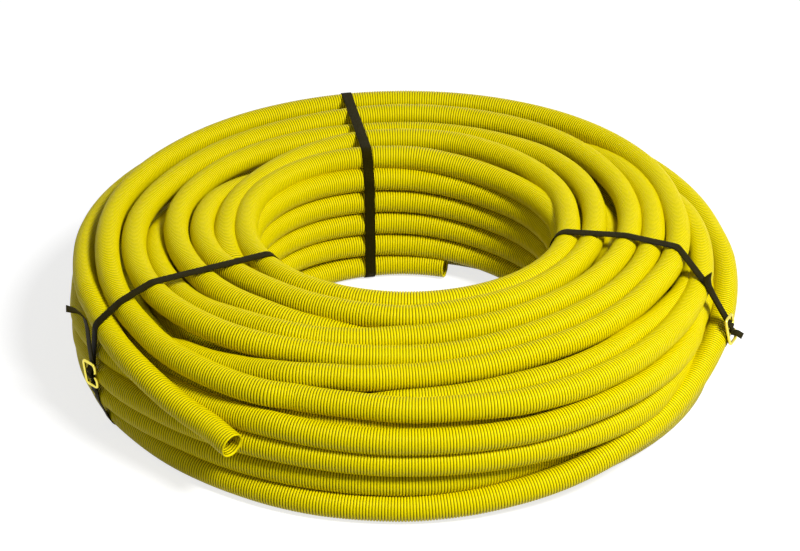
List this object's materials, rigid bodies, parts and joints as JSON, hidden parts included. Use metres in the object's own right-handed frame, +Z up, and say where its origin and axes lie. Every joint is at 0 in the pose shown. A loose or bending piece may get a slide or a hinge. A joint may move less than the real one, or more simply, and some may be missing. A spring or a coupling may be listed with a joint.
{
  "type": "coil of corrugated gas pipe",
  "caption": "Coil of yellow corrugated plastic pipe, wound in nested layers and lying flat, bound by black plastic straps with bent-wire buckles.",
  "frame": {"origin": "on the coil's axis, at the floor that the coil lies on", "axes": "+Z up, along the coil's axis; -Y towards the side with the pipe's free outer end; +X to the right of it"},
  "size_m": [0.6804, 0.6804, 0.1504],
  "materials": {
    "pipe": "satin yellow polyethylene, corrugated",
    "strap": "black embossed polypropylene strapping",
    "buckle": "yellow-passivated zinc-plated steel wire, shiny"
  },
  "bodies": {
    "root": {"pipe": "pipe", "strap_back": "strap", "strap_left": "strap", "strap_right": "strap", "buckle_back": "buckle", "buckle_left": "buckle", "buckle_right": "buckle"}
  },
  "joints": []
}
